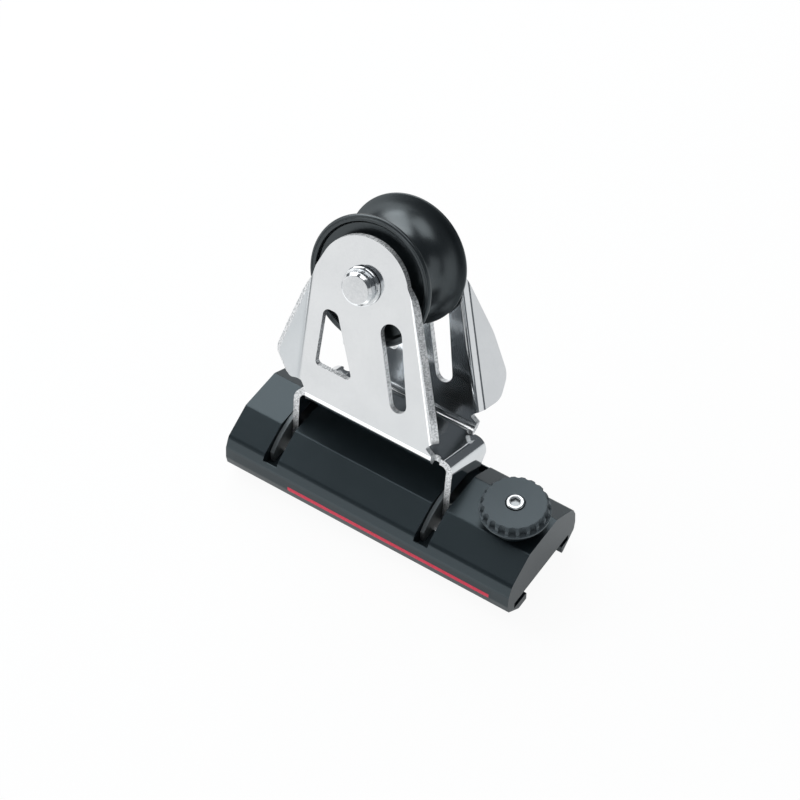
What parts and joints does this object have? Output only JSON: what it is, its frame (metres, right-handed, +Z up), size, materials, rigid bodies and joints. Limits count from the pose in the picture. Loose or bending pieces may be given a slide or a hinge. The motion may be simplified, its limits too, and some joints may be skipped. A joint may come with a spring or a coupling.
{
  "type": "sailboat track car",
  "caption": "Rope lead car for a T-shaped deck track: black body, tilting folded steel frame with a grooved sheave, spring stop with a scalloped knob.",
  "frame": {"origin": "middle of the track channel's ceiling, halfway between the two legs of the steel frame", "axes": "+X along the track towards the spring stop, +Z up from the deck, -Y the side with the label strip; the steel frame lies back towards +Y"},
  "size_m": [0.1256, 0.0778, 0.1157],
  "materials": {
    "satin_black_anodised": "satin black anodised aluminium",
    "gloss_black_anodised": "glossy black hard-anodised aluminium",
    "polished_stainless": "polished stainless steel",
    "dark_grey_plastic": "matte dark grey plastic",
    "liner_plastic": "matte black plastic",
    "label_film": "black film with one red line",
    "spring_steel": "spring steel wire"
  },
  "bodies": {
    "car": {"car_body": "satin_black_anodised", "side_label_strip": "label_film", "track_guide_near": "liner_plastic", "track_guide_far": "liner_plastic", "slot_liner_left": "liner_plastic", "slot_liner_right": "liner_plastic", "pivot_rod": "polished_stainless", "stop_cap": "satin_black_anodised", "stop_spring": "spring_steel"},
    "frame": {"saddle_frame": "polished_stainless", "axle_pin": "polished_stainless", "axle_nut": "polished_stainless", "inner_race": "polished_stainless", "thrust_washer_near": "liner_plastic", "thrust_washer_far": "liner_plastic"},
    "rollers": {"roller_row_near": "dark_grey_plastic", "roller_row_far": "dark_grey_plastic"},
    "wheel": {"sheave": "gloss_black_anodised"},
    "stop": {"stop_pin": "polished_stainless"},
    "knob": {"stop_knob": "dark_grey_plastic", "knob_screw": "polished_stainless"}
  },
  "joints": [
    {"name": "frame_tilt", "type": "hinge", "parent": "car", "child": "frame", "pos_m": [0, 0, 0.0084], "axis": [1, 0, 0], "range_deg": [0, 46]},
    {"name": "sheave_spin", "type": "hinge", "parent": "frame", "child": "wheel", "pos_m": [-0.0156, 0.03075, 0.08084], "axis": [0, 0.9205, -0.3907], "continuous": true},
    {"name": "roller_spin", "type": "hinge", "parent": "frame", "child": "rollers", "pos_m": [-0.0156, 0.03075, 0.08084], "axis": [0, 0.9205, -0.3907], "continuous": true},
    {"name": "stop_lift", "type": "slide", "parent": "car", "child": "stop", "axis": [0, 0, 1], "range_m": [0, 0.005], "stiffness_N_per_m": 900, "springref_m": -0.004, "deforming": ["stop_spring"]},
    {"name": "knob_turn", "type": "hinge", "parent": "stop", "child": "knob", "pos_m": [0.0593, 0, 0], "axis": [0, 0, 1], "range_deg": [0, 90]}
  ],
  "couplings": [
    {"joint": "roller_spin", "follows": "sheave_spin", "ratio": 0.6}
  ]
}
